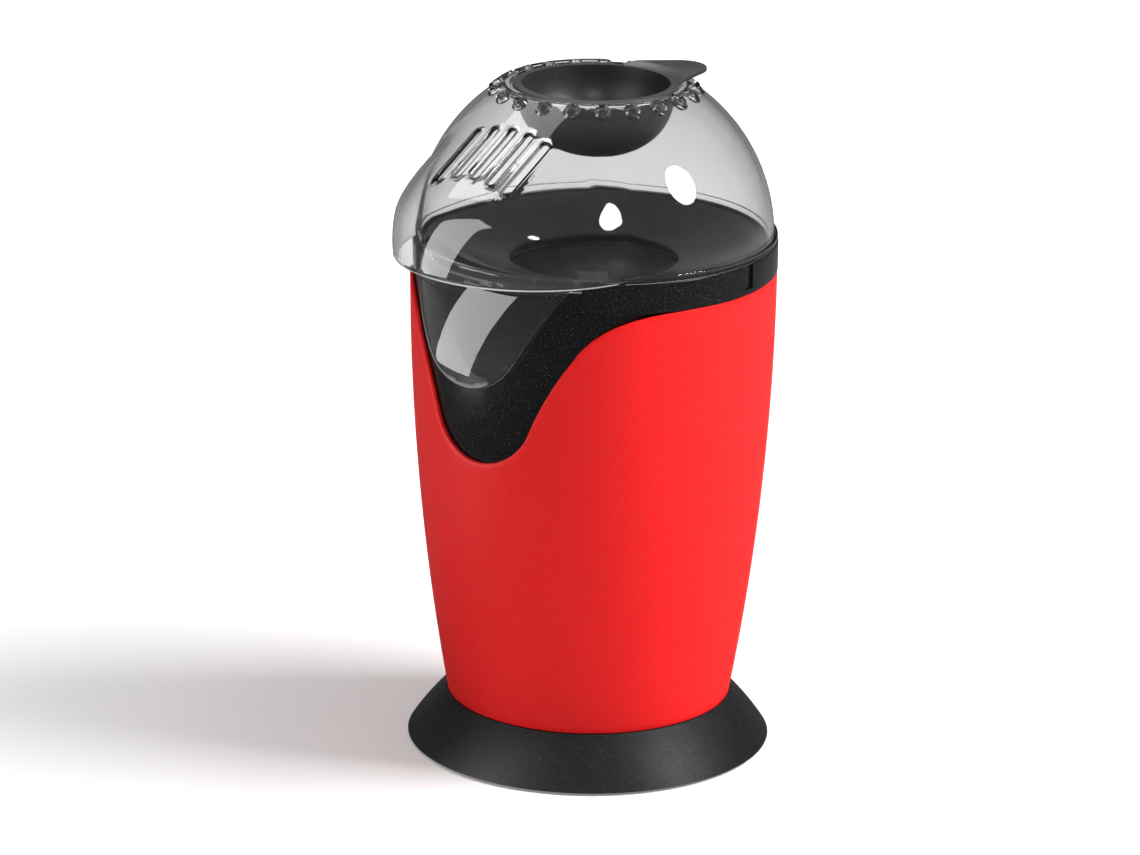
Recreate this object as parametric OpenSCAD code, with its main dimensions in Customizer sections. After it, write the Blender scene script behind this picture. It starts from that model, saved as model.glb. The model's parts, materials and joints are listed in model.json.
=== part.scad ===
// Hot-air popcorn maker: flared base, slim shell, black top housing with a
// front chute, clear dome with a spout hood, and a measuring cup in the dome.
// The origin is on the vertical axis at the resting plane. +Z is up and the
// chute faces -Y. All lengths are in millimetres.

/* [Base] */
// Radius of the flared base at the floor
base_r = 80.4; // [78:0.1:84]
// Radius of the base where it meets the shell
base_top_r = 63.2; // [62:0.1:64]
// Height of the base
base_h = 21.7; // [20:0.1:23]
// Radius of the gentle bulge of the base's slope
base_bulge_r = 120; // [90:5:200]
// Thickness of the base's wall
base_wall = 2.4; // [2:0.1:3]
// Distance from the floor to the base's lower edge
foot_gap = 1; // [0.5:0.1:2]

/* [Shell] */
// Largest radius of the painted shell
shell_r = 79.8; // [78:0.1:82]
// Height at which the shell is widest
shell_wide_z = 215; // [205:1:216]
// Radius of the shell's side curve, seen from the front
shell_curve_r = 1100; // [900:10:1400]
// Height of the shell's top edge
shell_top_z = 216.2; // [216.1:0.1:216.3]
// Thickness of the shell's wall
shell_wall = 2; // [1.6:0.1:2.1]
// Radius of the bottom of the front cut-out
cut_r = 27.5; // [25:0.5:30]
// Height of the centre of that bottom arc
cut_z = 172; // [168:1:176]
// Slope of the cut-out's sides, in degrees
cut_slope = 62; // [58:1:66]
// Half width of the cut-out where its sides begin to flare
cut_half_w = 43.4; // [42:0.1:45]
// Height at which the sides begin to flare
cut_flare_z = 195.7; // [194:0.1:197]

/* [Top housing] */
// Radius of the black ring
ring_r = 80; // [79.9:0.1:81]
// Height of the ring's top edge
ring_top_z = 229.3; // [229:0.1:230]
// Radius of the opening into the popping chamber
throat_r = 36.5; // [35:0.5:37]
// Height of the throat's lip
throat_z = 219.9; // [219.5:0.1:220.5]
// Half angle of the recess that the clear tongue drops into
recess_deg = 35.5; // [34:0.5:38]

/* [Dome] */
// Outer radius of the dome's sphere
dome_r = 78.2; // [78:0.1:78.4]
// Height of the sphere's centre
dome_z = 230.1; // [230:0.1:230.5]
// Thickness of the clear walls
clear_wall = 2.2; // [1.8:0.1:2.5]
// Height of the dome's flat top edge
dome_top_z = 297.2; // [297:0.1:297.3]
// Distance of the hood's own centre in front of the axis
hood_out = 41; // [38:0.5:44]
// Radius of the hood's rounded front
hood_r = 60.5; // [58:0.5:63]
// Height of the centre of the hood's front
hood_z = 236; // [233:0.5:240]
// Radius of the hood's sloping roof
roof_r = 76.3; // [75:0.1:77]
// Slope of the hood's roof, in degrees
roof_deg = 30; // [28:0.5:33]
// Number of slots in the roof
slot_count = 5; // [3:1:5]
// Distance between slots
slot_pitch = 9.3; // [8.5:0.1:10]
// Width of a slot
slot_w = 3.8; // [3:0.1:4.5]
// Number of vents around the dome's opening
vent_count = 21; // [15:1:21]
// Radius of a vent
vent_r = 2.5; // [2:0.1:3]

/* [Measuring cup] */
// Outer radius of the cup's rim
cup_rim_r = 35.9; // [35.8:0.1:36.2]
// Height of the cup's rim
cup_rim_z = 297.4; // [297.3:0.1:297.6]
// Outer radius of the cup's bowl
cup_bowl_r = 33.8; // [33:0.1:34.2]
// Height where the bowl begins to curve in
cup_bowl_z = 293.6; // [292:0.1:295]
// Depth of the bowl below that height
cup_bowl_deep = 27.8; // [24:0.1:29]
// Thickness of the bowl
cup_wall = 1.6; // [1.2:0.1:2]
// Distance from the axis to the tip of the handle
handle_tip = 55.3; // [50:0.1:58]
// Direction of the handle around the axis, from the chute
handle_deg = 162.5; // [140:0.5:180]

/* [Works] */
// Inner radius of the popping chamber
chamber_r = 36.6; // [36.5:0.1:37]
// Height of the chamber's floor
chamber_z = 118; // [110:1:125]
// Thickness of the chamber's sheet metal
sheet = 0.8; // [0.6:0.1:1]
// Number of swirl louvres in the chamber's wall
louvre_count = 14; // [8:1:18]
// Radius of the hot-air duct
duct_r = 46.8; // [46:0.1:47.5]
// Radius of the fan
fan_r = 40; // [34:1:42]
// Number of fan blades
blade_count = 12; // [8:1:16]
// Radius of the motor
motor_r = 18; // [16:0.5:20]
// Radius of the motor's shaft
shaft_r = 1.6; // [1.5:0.1:2]
// Running clearance of the shaft in its bushes
shaft_gap = 0.04; // [0.02:0.01:0.08]

/* [Switch] */
// Height of the rocker's pivot
switch_z = 48; // [46:1:50]
// Half swing of the rocker, in degrees
rocker_deg = 10; // [6:1:12]

/* [Hidden] */
$fn = 96;
fine = 1440;
far = 200;
fit_gap = 0.2;
seat_z = 295.4;
collar_z = 298.3;
bowl_curve = 0.89;
skirt_r = 77.9;
skirt_wall = 2.3;
channel_z = 224.8;
dish_z = 228.4;
deck_z = 64;
deck_h = 2.5;
lug_h = 3.2;
fan_z = 69.5;
fan_h = 15;
fan_room_top = 91.5;
flange_z = 214;
gasket_h = 1.5;
post_r = 53;
post_angles = [45, 135, 225, 315];
foot_ring = 66;
plate_r = 74.2;
hub_r = 10;
plate_z = 3;
plate_h = 2;
base_screw_ring = 57;
base_screw_turn = 30;
gland_y = 60.5;
gland_z = 11.6;
chamber_screw_ring = 50.5;
motor_z = 34;
motor_h = 28;
board_z = 23.5;
board_h = 1.6;
switch_y = 62;
tongue_out = 86.3;
tongue_z = 188;
tongue_arc = 103;
tongue_tip_r = 27;
tongue_tip_z = 206.5;
tongue_slope = 60;
tongue_half_w = 42.5;
lip_out = 62;
lip_arc = 85;
lip_deg = 47;
helix_r = 29;
helix_wire = 0.9;
helix_turns = 4;
helix_pitch = 5;
helix_steps = 24;
helix_sides = 8;
helix_z = 96;
terminal_z = 104;

// Turns what is drawn towards the front (-Y) to an angle around the axis.
module at_angle(a) rotate([0, 0, a]) children();

// A plain tube from z0 to z1.
module tube(r_out, r_in, z0, z1) {
    translate([0, 0, z0])
        difference() {
            cylinder(r = r_out, h = z1 - z0);
            translate([0, 0, -1]) cylinder(r = r_in, h = z1 - z0 + 2);
        }
}

// A wedge of space around the front, used to limit a shape to half angle a.
module front_wedge(a, z0, z1) {
    reach = far / cos(a);
    translate([0, 0, z0])
        linear_extrude(z1 - z0)
            polygon([[0, 0], [-reach * sin(a), -reach * cos(a)], [reach * sin(a), -reach * cos(a)]]);
}

// A revolved wall whose side is one arc: r_ref at z_ref, curving in above and below.
module arc_wall(r_ref, z_ref, arc, wall, z0, z1) {
    rotate_extrude($fn = 180)
        intersection() {
            translate([r_ref - arc, z_ref])
                difference() {
                    circle(r = arc, $fn = fine);
                    circle(r = arc - wall, $fn = fine);
                }
            translate([20, z0]) square([100, z1 - z0]);
        }
}

// Outline of the shell's front cut-out, with its flared top corners.
module cut_outline(grow = 0) {
    r = cut_r + grow;
    tx = r * sin(cut_slope);
    tz = cut_z - r * cos(cut_slope);
    side = cut_half_w + grow;
    flare = (shell_top_z - cut_flare_z) / (1 - cos(cut_slope));
    top = shell_top_z + 20;
    translate([0, cut_z]) circle(r = r);
    polygon([[-tx, tz], [tx, tz], [side, cut_flare_z], [side, top], [-side, top], [-side, cut_flare_z]]);
    for (s = [-1, 1])
        difference() {
            translate([s > 0 ? side - 1 : -side - flare * sin(cut_slope), cut_flare_z])
                square([flare * sin(cut_slope) + 1, top - cut_flare_z]);
            translate([s * (side + flare * sin(cut_slope)), shell_top_z - flare])
                circle(r = flare, $fn = 240);
        }
}

module base_ring() {
    chord = [base_top_r - base_r, base_h - foot_gap];
    half = norm(chord) / 2;
    normal = [chord[1], -chord[0]] / norm(chord);
    middle = [(base_top_r + base_r) / 2, (base_h + foot_gap) / 2];
    centre = middle - normal * sqrt(pow(base_bulge_r, 2) - pow(half, 2));
    color("#1c1c1e") {
        difference() {
            rotate_extrude($fn = 180)
                intersection() {
                    translate(centre)
                        difference() {
                            circle(r = base_bulge_r, $fn = fine);
                            circle(r = base_bulge_r - base_wall, $fn = fine);
                        }
                    translate([40, foot_gap]) square([60, base_h - foot_gap]);
                }
            translate([0, gland_y, gland_z]) rotate([-90, 0, 0]) cylinder(r = 5.2, h = 30);
        }
        tube(base_top_r, 46, base_h - 2.5, base_h);
        tube(59.4, 57.6, base_h - 0.5, base_h + 5);
        for (a = post_angles)
            at_angle(a) translate([0, -post_r, 0])
                tube(4.5, 1.25, base_h - 2, deck_z);
        for (a = post_angles)
            at_angle(a + base_screw_turn) translate([0, -base_screw_ring, 0])
                tube(4, 1.25, plate_z + plate_h, base_h - 2);
    }
}

module base_plate() {
    color("#232325")
        difference() {
            translate([0, 0, plate_z]) cylinder(r = plate_r, h = plate_h, $fn = 180);
            intersection() {
                tube(38, hub_r, plate_z - 1, plate_z + plate_h + 1);
                for (x = [-33:6:33])
                    translate([x - 1.5, -60, plate_z - 1]) cube([3, 120, plate_h + 2]);
            }
            translate([0, 0, plate_z - 1]) cylinder(r = 2.5, h = plate_h + 2);
            for (a = post_angles) {
                at_angle(a + base_screw_turn) translate([0, -base_screw_ring, plate_z - 1])
                    cylinder(r = 1.7, h = plate_h + 2);
                at_angle(a) translate([0, -foot_ring, plate_z - 1])
                    cylinder(r = 2.5, h = plate_h + 2);
            }
        }
}

// A push-in foot: its pad, its neck in the plate's hole and the bead that holds it.
module foot() {
    cylinder(r = 6.5, h = plate_z);
    translate([0, 0, plate_z - 0.5]) cylinder(r = 2.4, h = plate_h + 1);
    translate([0, 0, plate_z + plate_h]) cylinder(r = 3.4, h = 1.2);
}

module rubber_feet() {
    color("#101011") {
        foot();
        for (a = post_angles)
            at_angle(a) translate([0, -foot_ring, 0]) foot();
    }
}

// A pan-head screw that points up from its head at the origin.
module screw(length, head_r = 2.8, shank_r = 1.2) {
    translate([0, 0, -1.8])
        difference() {
            cylinder(r = head_r, h = 1.8);
            translate([-2, -0.35, -1]) cube([4, 0.7, 1.8]);
            translate([-0.35, -2, -1]) cube([0.7, 4, 1.8]);
        }
    translate([0, 0, -0.1]) cylinder(r = shank_r, h = length + 0.1);
}

module base_screws() {
    color("#8c8f94")
        for (a = post_angles)
            at_angle(a + base_screw_turn) translate([0, -base_screw_ring, plate_z]) screw(11);
}

module housing() {
    color("#e0251f")
        difference() {
            arc_wall(shell_r, shell_wide_z, shell_curve_r, shell_wall, base_h, shell_top_z);
            translate([0, -20, 0]) rotate([90, 0, 0]) linear_extrude(80) cut_outline();
            translate([-8.7, 50, switch_z - 11.7]) cube([17.4, 40, 23.4]);
        }
}

module dish_profile() {
    ring_in = skirt_r + 0.5;
    dish_r = 70;
    wall_in = ring_in - skirt_wall - 1.6;
    polygon([[throat_r, 216.5], [throat_r, throat_z - 0.7], [throat_r + 0.7, throat_z],
             [throat_r + 2.1, throat_z + 0.2], [dish_r, dish_z], [wall_in, ring_top_z],
             [wall_in, channel_z], [ring_in, channel_z], [ring_in, ring_top_z],
             [ring_r, ring_top_z], [ring_r, shell_top_z], [75.8, shell_top_z], [75.8, 222.6],
             [72.8, 222.6], [72.8, dish_z - 1.8], [dish_r, dish_z - 2.2], [45, 219.6], [45, 216.5]]);
}

module top_housing() {
    color("#151517")
        difference() {
            union() {
                rotate_extrude($fn = 180) dish_profile();
                intersection() {
                    tube(77, 56, 221.4, channel_z);
                    front_wedge(lip_deg, 220, 230);
                }
                tube(77.2, 75.3, 208, shell_top_z + 1);
                intersection() {
                    arc_wall(shell_r - shell_wall - fit_gap, shell_wide_z, shell_curve_r,
                             2, 138, shell_top_z + 0.5);
                    translate([0, -20, 0]) rotate([90, 0, 0]) linear_extrude(80) cut_outline(3.5);
                }
                for (a = post_angles)
                    at_angle(a) translate([0, -chamber_screw_ring, 0])
                        tube(3.6, 0.5, flange_z + sheet, 221.5);
            }
            // recess for the tongue, in the front of the ring
            intersection() {
                tube(90, skirt_r - 0.7, shell_top_z - 0.2, 240);
                front_wedge(recess_deg, 210, 240);
            }
            // step down from the lip of the dish
            intersection() {
                difference() {
                    translate([0, 0, channel_z]) cylinder(r = skirt_r, h = 10);
                    translate([0, lip_arc - lip_out, channel_z - 1]) cylinder(r = lip_arc, h = 12, $fn = 240);
                }
                front_wedge(lip_deg, 220, 240);
            }
            for (a = [-95, 95])
                at_angle(a) translate([-3, -ring_r - 1, 218.5]) cube([6, 2.2, 20]);
            for (a = post_angles)
                at_angle(a) translate([0, -chamber_screw_ring, flange_z]) cylinder(r = 1.25, h = 6.5);
        }
}

module chamber_gasket() {
    color("#c8502e") tube(44, 38.5, flange_z + sheet + 0.2, 216.5);
}

module popping_chamber() {
    color("#c9ccd0")
        difference() {
            union() {
                difference() {
                    translate([0, 0, chamber_z])
                        cylinder(r = chamber_r + sheet, h = flange_z + sheet - chamber_z);
                    translate([0, 0, chamber_z + sheet]) cylinder(r = chamber_r, h = 120);
                }
                tube(54.5, chamber_r + 0.2, flange_z, flange_z + sheet);
                translate([0, 0, chamber_z]) cylinder(r1 = 15, r2 = 3, h = 11);
            }
            translate([0, 0, chamber_z - 1.2]) cylinder(r1 = 15, r2 = 3, h = 11);
            for (k = [0:louvre_count - 1])
                at_angle(k * 360 / louvre_count)
                    translate([0, -chamber_r, chamber_z + 4]) rotate([0, 0, 40])
                        translate([-0.9, -6, 0]) cube([1.8, 12, 14]);
            for (a = post_angles)
                at_angle(a) translate([0, -chamber_screw_ring, flange_z - 1]) cylinder(r = 1.7, h = 4);
        }
}

module chamber_screws() {
    color("#8c8f94")
        for (a = post_angles)
            at_angle(a) translate([0, -chamber_screw_ring, flange_z]) screw(6, head_r = 3);
}

module air_duct() {
    color("#9fa3a8")
        difference() {
            union() {
                tube(duct_r, duct_r - sheet, fan_room_top, flange_z - 0.2);
                tube(duct_r + 3, duct_r - 2.8, fan_room_top, fan_room_top + sheet);
                tube(duct_r - 0.2, chamber_r + sheet + 0.3, flange_z - 0.2 - sheet, flange_z - 0.2);
            }
            at_angle(120) translate([0, -duct_r - 5, 150]) rotate([-90, 0, 0]) cylinder(r = 1.5, h = 10);
            for (a = [60, 240])
                at_angle(a) translate([-3.5, -duct_r - 5, terminal_z - 0.4]) cube([7, 10, 1.6]);
        }
}

module mica_tube() {
    spoke_z = fan_room_top + sheet;
    color("#cbb98f") {
        tube(helix_r - 1.8, helix_r - 2.6, spoke_z, 117);
        for (a = [0, 90, 180, 270])
            at_angle(a) translate([-0.4, -duct_r + sheet + 0.3, spoke_z])
                cube([0.8, duct_r - sheet - 0.3 - helix_r + 2.2, 3]);
    }
}

// Points of one ring of the coil's wire, at step i along the helix.
function wire_ring(i) = let (
        turn = 360 * i / helix_steps,
        z = helix_z + 0.8 + helix_pitch * i / helix_steps)
    [for (s = [0:helix_sides - 1])
        let (b = 360 * s / helix_sides, r = helix_r + helix_wire * cos(b))
        [r * cos(turn), r * sin(turn), z + helix_wire * sin(b)]];

// Faces of a closed tube made of rings of n points.
function tube_faces(rings, n) = concat(
    [[for (s = [0:n - 1]) s]],
    [for (i = [0:rings - 2], s = [0:n - 1], half = [0, 1])
        let (a = i * n + s, b = i * n + (s + 1) % n)
        half == 0 ? [a, a + n, b + n] : [a, b + n, b]],
    [[for (s = [n - 1:-1:0]) (rings - 1) * n + s]]);

module heating_coil() {
    steps = helix_steps * helix_turns;
    color("#7d7f86")
        polyhedron(points = [for (i = [0:steps]) each wire_ring(i)],
                   faces = tube_faces(steps + 1, helix_sides), convexity = 8);
}

module coil_terminals() {
    color("#b08d3e")
        for (a = [60, 240])
            at_angle(a) translate([-3, -duct_r - 6.2, terminal_z])
                cube([6, duct_r + 6.2 - helix_r - helix_wire - 0.4, sheet]);
}

module thermostat() {
    color("#d7d3c8")
        at_angle(120) translate([0, -duct_r - 0.5, 150]) rotate([90, 0, 0]) {
            cylinder(r = 8, h = 5);
            translate([0, 0, 5]) cylinder(r = 6.4, h = 3);
            for (s = [-1, 1]) translate([s * 5 - 1.5, -3, 3]) cube([3, 14, 0.8]);
        }
}

module thermal_fuse() {
    color("#e9e4d4")
        at_angle(150) translate([0, -duct_r - 3, 140]) {
            cylinder(r = 2.1, h = 12);
            translate([0, 0, -8]) cylinder(r = 0.5, h = 28);
        }
}

module fan_housing() {
    color("#3a3c40")
        difference() {
            union() {
                tube(50, 48.4, deck_z, fan_room_top);
                translate([0, 0, deck_z]) cylinder(r = 50, h = deck_h);
                for (a = post_angles)
                    at_angle(a) translate([0, -post_r, deck_z]) cylinder(r = 5, h = lug_h);
            }
            translate([0, 0, deck_z - 1]) cylinder(r = 5.2, h = 10);
            for (a = [0:60:300])
                at_angle(a) translate([0, -30, deck_z - 1]) cylinder(r = 7.5, h = 10);
            for (a = [30, 210])
                at_angle(a) translate([0, -12, deck_z - 1]) cylinder(r = 1.7, h = 10);
            for (a = post_angles)
                at_angle(a) translate([0, -post_r, deck_z - 1]) cylinder(r = 1.7, h = 10);
        }
}

module deck_screws() {
    color("#8c8f94")
        for (a = post_angles)
            at_angle(a) translate([0, -post_r, deck_z + lug_h]) rotate([180, 0, 0]) screw(10);
}

module motor_screws() {
    color("#8c8f94")
        for (a = [30, 210])
            at_angle(a) translate([0, -12, deck_z + deck_h]) rotate([180, 0, 0]) screw(4.2, head_r = 2.6);
}

module impeller() {
    color("#e8e8ea") {
        difference() {
            union() {
                translate([0, 0, fan_z]) cylinder(r = 6, h = fan_h);
                translate([0, 0, fan_z]) cylinder(r = fan_r, h = 1.4);
            }
            translate([0, 0, fan_z - 1]) cylinder(r = shaft_r, h = fan_h + 2);
        }
        for (k = [0:blade_count - 1])
            at_angle(k * 360 / blade_count)
                translate([0, -fan_r * 0.78, fan_z + 1]) rotate([0, 0, 38])
                    translate([-0.6, -7.5, 0]) cube([1.2, 15, fan_h - 2]);
    }
}

module motor_shaft() {
    color("#b9bcc1") translate([0, 0, 29]) cylinder(r = shaft_r, h = fan_z + fan_h - 30);
}

module armature() {
    color("#6d4a35") {
        difference() {
            translate([0, 0, motor_z + 9]) cylinder(r = 11, h = 15);
            translate([0, 0, motor_z]) cylinder(r = shaft_r, h = 40);
            for (k = [0:4])
                at_angle(k * 72) translate([-1.2, -20, motor_z + 8]) cube([2.4, 14, 20]);
        }
        tube(4.2, shaft_r, motor_z + 3.2, motor_z + 8.2);
    }
}

module motor_magnets() {
    color("#4b4c50")
        difference() {
            tube(motor_r - 1.3, 12, motor_z + 8, motor_z + 26);
            translate([-3, -30, motor_z]) cube([6, 60, 40]);
        }
}

module motor_brushes() {
    color("#2a2a2c")
        for (a = [90, 270])
            at_angle(a) {
                translate([-1.5, -9, motor_z + 4.5]) cube([3, 4.5, 2.6]);
                translate([-1.5, -10, motor_z + 2.5]) cube([3, 1.1, 5]);
            }
}

module motor_can() {
    color("#a7abb0")
        difference() {
            translate([0, 0, motor_z]) cylinder(r = motor_r, h = motor_h + 1.9);
            translate([0, 0, motor_z - 1]) cylinder(r = motor_r - 1.2, h = motor_h + 1);
            translate([0, 0, motor_z]) cylinder(r = 4.6, h = motor_h + 5);
            for (a = [30, 210])
                at_angle(a) translate([0, -12, motor_z]) cylinder(r = 1.25, h = motor_h + 5);
        }
}

module motor_end_cap() {
    color("#2b2d31")
        difference() {
            union() {
                translate([0, 0, motor_z - 2.5]) cylinder(r = motor_r, h = 2.5);
                translate([0, 0, motor_z - 0.5]) cylinder(r = motor_r - 1.3, h = 3);
                for (y = [-11, 11]) translate([0, y, board_z + board_h]) cylinder(r = 0.9, h = 8);
            }
            translate([0, 0, motor_z - 4]) cylinder(r = 4.6, h = 12);
        }
}

module motor_bushes() {
    color("#a98a4f") {
        tube(4.5, shaft_r + shaft_gap, motor_z + motor_h, motor_z + motor_h + 3.4);
        tube(4.5, shaft_r + shaft_gap, motor_z - 3, motor_z + 2);
    }
}

module rectifier_board() {
    color("#2f6b46")
        difference() {
            translate([-19, -16, board_z]) cube([38, 32, board_h]);
            for (x = [-15, 15], y = [-12, 12]) translate([x, y, board_z - 1]) cylinder(r = 1.6, h = 5);
        }
}

module diodes() {
    color("#17181a")
        for (y = [-9, -4, 1, 6])
            translate([-14, y, board_z + board_h + 1.4]) rotate([0, 90, 0]) cylinder(r = 1.3, h = 6);
}

module capacitor() {
    color("#3a4d8f") translate([10, 0, board_z + board_h]) cylinder(r = 3.4, h = 5);
}

module switch_frame() {
    color("#1b1b1d")
        difference() {
            union() {
                translate([-8.5, switch_y - 10, switch_z - 11.5]) cube([17, 16.4, 23]);
                translate([-7, switch_y - 12, switch_z - 9]) cube([14, 3, 18]);
            }
            translate([-5.7, switch_y - 6.5, switch_z - 9.7]) cube([11.4, 20, 19.4]);
            translate([-7.5, switch_y, switch_z]) rotate([0, 90, 0]) cylinder(r = 1.25, h = 15);
        }
}

module switch_rocker() {
    color("#c7221d")
        translate([0, switch_y, switch_z]) rotate([rocker_deg, 0, 0]) {
            difference() {
                translate([-5.3, 0, 0]) rotate([90, 0, 90]) linear_extrude(10.6)
                    polygon([[-2.5, -7.5], [4.6, -8.4], [3.2, 0], [4.6, 8.4], [-2.5, 7.5]]);
                for (s = [-1, 1])
                    translate([0, 4.6, s * 6.2]) rotate([0, 90, 0]) cylinder(r = 0.5, h = 5, center = true);
            }
            translate([-7.2, 0, 0]) rotate([0, 90, 0]) cylinder(r = 1.2, h = 14.4);
        }
}

module switch_terminals() {
    color("#c2a14b")
        for (z = [-5, 5])
            translate([-2.4, switch_y - 20, switch_z + z - 0.4]) cube([4.8, 8, 0.8]);
}

module cord_gland() {
    color("#101011")
        difference() {
            translate([0, gland_y, gland_z]) rotate([-90, 0, 0]) {
                cylinder(r = 5, h = 14.9);
                cylinder(r = 6.2, h = 2);
            }
            translate([0, gland_y - 1, gland_z]) rotate([-90, 0, 0]) cylinder(r = 3.6, h = 20);
        }
}

// A bent lead: a thin polyhedron tube through hand-placed points.
function lead_point(pts, t) = let (
        n = len(pts) - 1,
        i = min(floor(t * n), n - 1),
        f = t * n - i,
        a = pts[max(i - 1, 0)], b = pts[i], c = pts[i + 1], d = pts[min(i + 2, n)])
    0.5 * (2 * b + (c - a) * f + (2 * a - 5 * b + 4 * c - d) * pow(f, 2)
        + (3 * b - a - 3 * c + d) * pow(f, 3));

module lead(pts, r = 1) {
    rings = 6 * (len(pts) - 1);
    sides = 6;
    path = [for (i = [0:rings]) lead_point(pts, i / rings)];
    points = [for (i = [0:rings])
        let (dir = path[min(i + 1, rings)] - path[max(i - 1, 0)],
             w = dir / norm(dir),
             ref = abs(w[2]) > 0.95 ? [1, 0, 0] : [0, 0, 1],
             u = cross(ref, w) / norm(cross(ref, w)),
             v = cross(w, u))
        for (s = [0:sides - 1]) path[i] + r * (u * cos(360 * s / sides) + v * sin(360 * s / sides))];
    polyhedron(points = points, faces = tube_faces(rings + 1, sides), convexity = 6);
}

module wiring() {
    color("#7a4a2a")
        lead([[1.6, 59.5, 11.6], [2, 50, 13], [2, 41, 22], [1, 36, 34], [0, 37, 40], [0, 41.7, 43]]);
    color("#2e4fa0") lead([[-1.6, 59.5, 11.6], [-6, 50, 12], [-14, 40, 17], [-19, 24, 22], [-17, 12, 26.4]]);
    color("#8a8a8c") {
        lead([[0, 41.7, 53], [-10, 45, 56], [-27, 48, 66], [-33, 46, 84], [-44, 33, 98], [-46, 26.5, 106]]);
        lead([[46, -26.5, 106], [55, -12, 114], [58, 6, 132], [55, 14, 154], [46.8, 21, 162.8]]);
    }
}

// The dome and hood walls as solids, drawn twice: outer faces, then inner.
module dome_solid(inset) {
    translate([0, 0, dome_z]) sphere(r = dome_r - inset, $fn = 180);
    intersection() {
        translate([0, 0, dome_z]) rotate([90 + roof_deg, 0, 0])
            cylinder(r = roof_r - inset, h = 140, $fn = 180);
        translate([0, -hood_out, hood_z]) sphere(r = hood_r - inset, $fn = 180);
    }
}

module dome_shell() {
    difference() {
        intersection() {
            union() {
                dome_solid(0);
                tube(79.7, 70, ring_top_z, ring_top_z + 3);
            }
            translate([-far, -far, ring_top_z]) cube([2 * far, 2 * far, dome_top_z - ring_top_z]);
        }
        dome_solid(clear_wall);
        translate([0, 0, seat_z]) cylinder(r = 37, h = 20);
    }
}

module roof_slots() {
    translate([0, 0, dome_z]) rotate([roof_deg, 0, 0])
        for (k = [0:slot_count - 1]) {
            x = (k - (slot_count - 1) / 2) * slot_pitch;
            low = -48 - pow(x / 9.3, 2);
            high = -20.5 - pow(x / 18.6, 2) * 2;
            translate([x, 0, 60]) {
                translate([-slot_w / 2, low, 0]) cube([slot_w, high - low, 25]);
                translate([0, low, 0]) cylinder(r = slot_w / 2, h = 25);
                translate([0, high, 0]) cylinder(r = slot_w / 2, h = 25);
            }
        }
}

// Places children at each vent, pointing out of the sphere.
module at_vents() {
    vent_polar = 33.8;
    for (k = [0:vent_count - 1])
        translate([0, 0, dome_z]) at_angle((k + 0.5) * 360 / vent_count) rotate([vent_polar, 0, 0])
            children();
}

// Outline of the tongue: a rounded V that hangs below the ring.
module tongue_outline() {
    tx = tongue_tip_r * sin(tongue_slope);
    tz = tongue_tip_z - tongue_tip_r * cos(tongue_slope);
    flank_top = tz + (tongue_half_w - tx) * tan(tongue_slope);
    translate([0, tongue_tip_z]) circle(r = tongue_tip_r);
    polygon([[-tx, tz], [tx, tz], [tongue_half_w, flank_top], [tongue_half_w, ring_top_z],
             [-tongue_half_w, ring_top_z], [-tongue_half_w, flank_top]]);
}

module dome_cover() {
    color([0.8, 0.84, 0.86, 0.4])
        difference() {
            union() {
                dome_shell();
                tube(skirt_r, skirt_r - skirt_wall, 225.4, ring_top_z + 1);
                intersection() {
                    arc_wall(tongue_out, tongue_z, tongue_arc, 2, 170, ring_top_z);
                    translate([0, -20, 0]) rotate([90, 0, 0]) linear_extrude(90) tongue_outline();
                }
                tube(39.5, 35, seat_z - 2.2, seat_z);
                tube(39.4, 37, seat_z - 1, dome_top_z);
                intersection() {
                    tube(40.2, 38.2, 294, collar_z);
                    at_angle(247) front_wedge(34.5, 290, 310);
                }
                for (s = [-1, 1])
                    at_angle(s * 38.5) intersection() {
                        tube(skirt_r - 0.2, skirt_r - 2, 229, 234.6);
                        front_wedge(4.5, 220, 240);
                    }
                intersection() {
                    at_vents() translate([0, 0, dome_r - 1.5]) cylinder(r = vent_r + 1.5, h = 2.5);
                    translate([-50, -50, 280]) cube([100, 100, dome_top_z - 280]);
                }
            }
            at_vents() translate([0, 0, dome_r - 8]) cylinder(r = vent_r, h = 16);
            roof_slots();
            at_angle(96) translate([-2.5, -42, 296.2]) cube([5, 8, 6]);
        }
}

// Outline of the cup's handle, a flat drop shape, from inside the rim to the tip.
module handle_outline() {
    root = 22.1;
    root_y = -28;
    tip = 12;
    tip_y = tip - handle_tip;
    span = [root, root_y - tip_y];
    turn = atan2(span[1], span[0]) - acos(tip / norm(span));
    side = [tip * cos(turn), tip_y + tip * sin(turn)];
    translate([0, tip_y]) circle(r = tip);
    polygon([[-root, root_y], [-side[0], side[1]], side, [root, root_y]]);
}

// The bowl as a solid: flat-bottomed and full, straight above the curve up to a given height.
module bowl(inset, top) {
    steps = 28;
    rotate_extrude($fn = 180)
        polygon(concat(
            [for (k = [0:steps]) let (t = 90 * k / steps)
                [(cup_bowl_r - inset) * pow(sin(t), bowl_curve),
                 cup_bowl_z - (cup_bowl_deep - inset) * pow(cos(t), bowl_curve)]],
            [[cup_bowl_r - inset, top], [0, top]]));
}

module measuring_cup() {
    color("#3c3d40")
        difference() {
            union() {
                bowl(0, cup_rim_z);
                translate([0, 0, seat_z]) cylinder(r = cup_rim_r, h = cup_rim_z - seat_z);
                at_angle(handle_deg) translate([0, 0, cup_rim_z]) linear_extrude(1.8) handle_outline();
                intersection() {
                    at_angle(handle_deg) translate([0, 0, seat_z + 1]) linear_extrude(2) handle_outline();
                    cylinder(r = cup_rim_r - 0.3, h = 400);
                }
            }
            bowl(cup_wall, cup_rim_z + 5);
        }
}

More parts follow.
